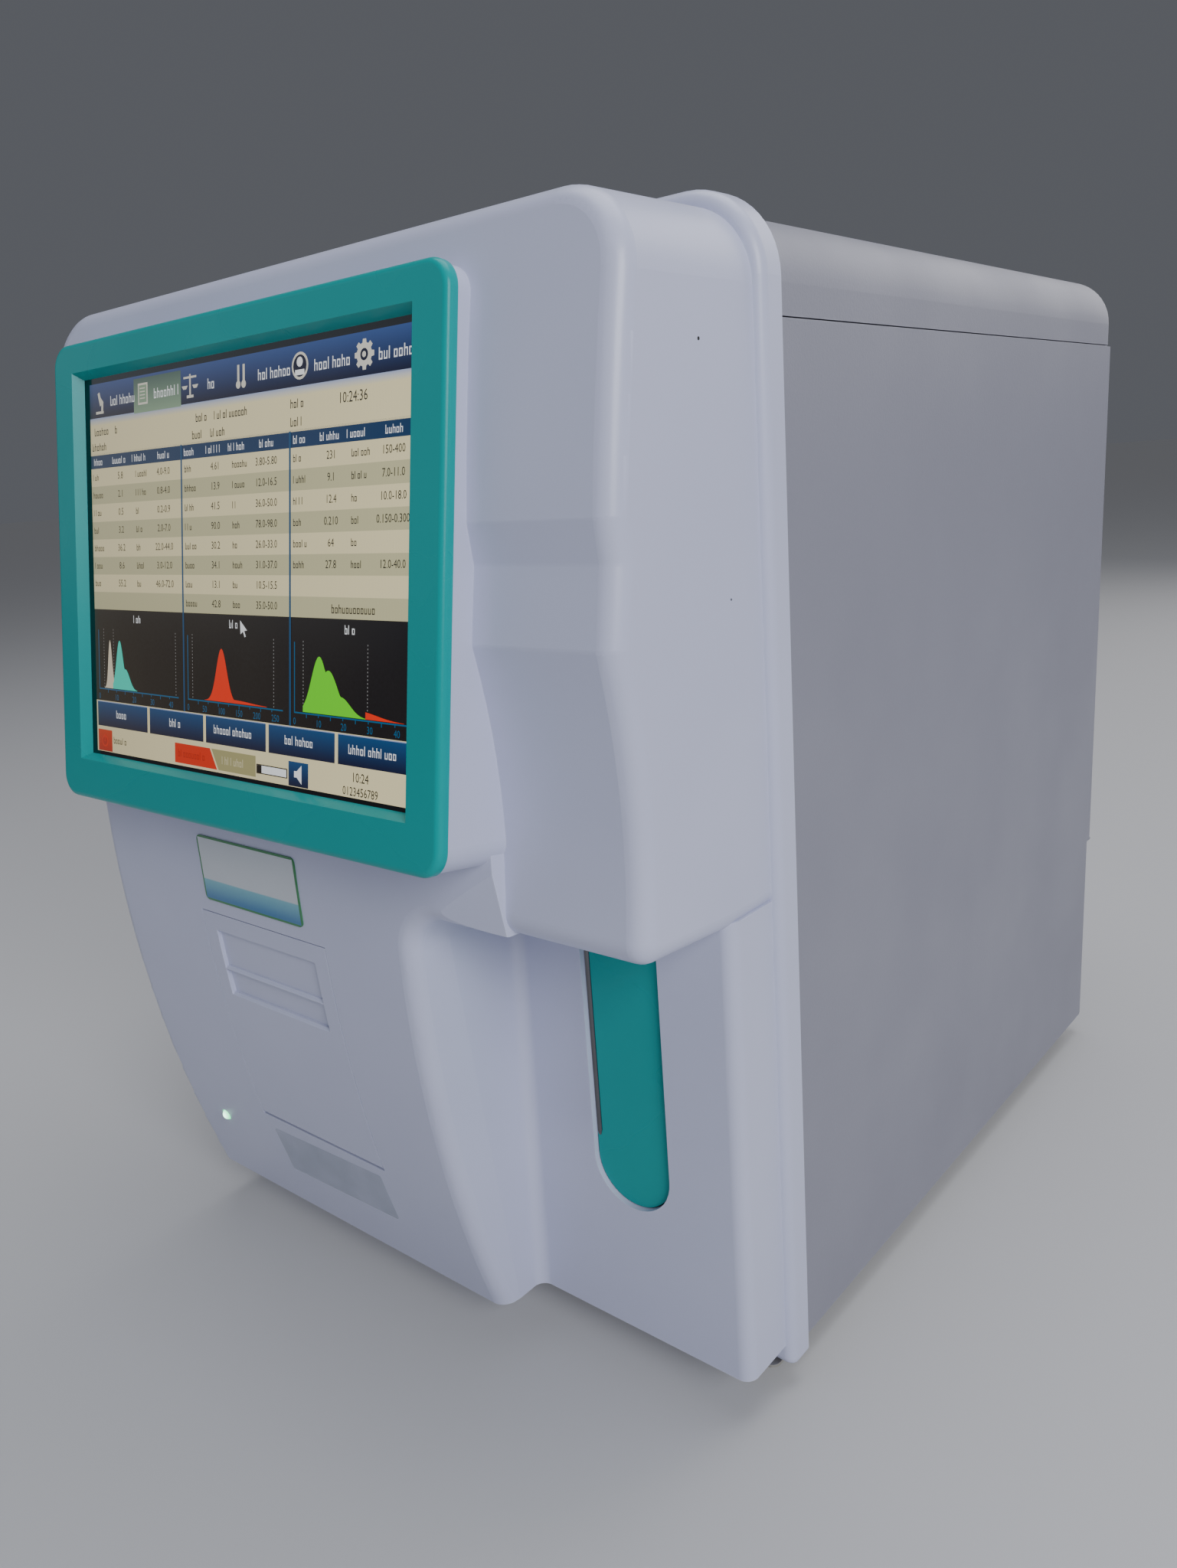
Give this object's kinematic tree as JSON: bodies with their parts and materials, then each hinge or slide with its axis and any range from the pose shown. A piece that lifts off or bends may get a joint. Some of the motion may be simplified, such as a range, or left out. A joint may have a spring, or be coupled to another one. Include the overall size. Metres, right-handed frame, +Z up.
{
  "type": "hematology analyzer",
  "caption": "Bench hematology analyzer: moulded front with tilted touch screen, printer door and open-tube sample probe on a sheet-metal cabinet.",
  "frame": {"origin": "centre of the bounding box on the floor plane, under the feet", "axes": "+X to the right seen from the front, +Y to the back, +Z up"},
  "size_m": [0.339, 0.504, 0.4675],
  "materials": {
    "cover_plastic": "satin",
    "bezel_teal": "satin",
    "panel_paint": "fine texture",
    "screen_glass": "glossy",
    "zinc": "yellow passivated",
    "steel": "satin",
    "rubber": "matt",
    "black_plastic": "satin",
    "grey_plastic": "satin",
    "white_plastic": "gloss",
    "paper": "matt",
    "clear_plastic": "gloss",
    "board_green": "gloss",
    "lamp_green": "lit",
    "brass": "satin"
  },
  "bodies": {
    "cabinet": {"front_cover": "cover_plastic", "screen_bezel": "bezel_teal", "touch_glass": "screen_glass", "lcd_module": "steel", "lcd_bracket": "zinc", "printer_bay": "grey_plastic", "printer_mechanism": "black_plastic", "key_bracket": "zinc", "key_pin": "steel", "key_switch": "black_plastic", "rinse_block": "white_plastic", "probe_guide_rods": "steel", "probe_frame": "zinc", "probe_motor": "black_plastic", "status_lamp": "lamp_green", "top_cover": "panel_paint", "right_side_panel": "panel_paint", "left_side_panel": "panel_paint", "rear_panel": "panel_paint", "port_plate": "panel_paint", "power_inlet": "black_plastic", "rocker_frame": "black_plastic", "reagent_fittings": "grey_plastic", "data_sockets": "steel", "ground_stud": "brass", "fan_frame": "black_plastic", "fan_guard": "steel", "base_plate": "zinc", "rubber_feet": "rubber", "mid_deck": "zinc", "counting_baths": "clear_plastic", "bath_holder": "white_plastic", "syringe_frame": "white_plastic", "syringe_motors": "black_plastic", "valve_manifold": "clear_plastic", "solenoid_valves": "black_plastic", "fluid_pumps": "grey_plastic", "vacuum_chamber": "clear_plastic", "chamber_clip": "zinc", "power_supply": "zinc", "main_board": "board_green", "panel_screws": "steel"},
    "door": {"printer_door": "cover_plastic"},
    "key": {"aspirate_key": "bezel_teal"},
    "probe": {"sample_probe": "steel", "probe_carriage": "black_plastic"},
    "lead_screw": {"probe_lead_screw": "steel"},
    "platen": {"platen_roller": "rubber"},
    "paper": {"paper_roll": "paper", "paper_shaft": "grey_plastic"},
    "sample_piston": {"sample_plunger": "steel"},
    "diluent_piston": {"diluent_plunger": "steel"},
    "rotor": {"fan_rotor": "black_plastic"},
    "rocker": {"power_rocker": "black_plastic"}
  },
  "joints": [
    {"name": "printer_door_hinge", "type": "hinge", "parent": "cabinet", "child": "door", "pos_m": [-0.0438, -0.20937, 0.0866], "axis": [1, 0, 0], "range_deg": [0, 70]},
    {"name": "aspirate_key_hinge", "type": "hinge", "parent": "cabinet", "child": "key", "pos_m": [0.11175, -0.16237, 0.228], "axis": [1, 0, 0], "range_deg": [0, 1.2], "stiffness_Nm_per_rad": 6},
    {"name": "probe_slide", "type": "slide", "parent": "cabinet", "child": "probe", "axis": [0, 0, 1], "range_m": [0, 0.09]},
    {"name": "lead_screw_turn", "type": "hinge", "parent": "cabinet", "child": "lead_screw", "pos_m": [0.1117, -0.14717, 0.3], "axis": [0, 0, 1], "range_deg": [0, 2700]},
    {"name": "platen_turn", "type": "hinge", "parent": "cabinet", "child": "platen", "pos_m": [-0.0438, -0.20367, 0.161], "axis": [1, 0, 0], "continuous": true},
    {"name": "paper_turn", "type": "hinge", "parent": "cabinet", "child": "paper", "pos_m": [-0.0438, -0.16567, 0.115], "axis": [1, 0, 0], "continuous": true},
    {"name": "sample_piston_slide", "type": "slide", "parent": "cabinet", "child": "sample_piston", "axis": [0, 0, -1], "range_m": [0, 0.024]},
    {"name": "diluent_piston_slide", "type": "slide", "parent": "cabinet", "child": "diluent_piston", "axis": [0, 0, -1], "range_m": [0, 0.024]},
    {"name": "fan_turn", "type": "hinge", "parent": "cabinet", "child": "rotor", "pos_m": [-0.095, 0.23033, 0.33], "axis": [0, 1, 0], "continuous": true},
    {"name": "power_rocker_tilt", "type": "hinge", "parent": "cabinet", "child": "rocker", "pos_m": [-0.084, 0.23533, 0.07], "axis": [1, 0, 0], "range_deg": [-8, 8]}
  ],
  "couplings": [
    {"joint": "lead_screw_turn", "follows": "probe_slide", "rad_per_m": 523.6}
  ]
}
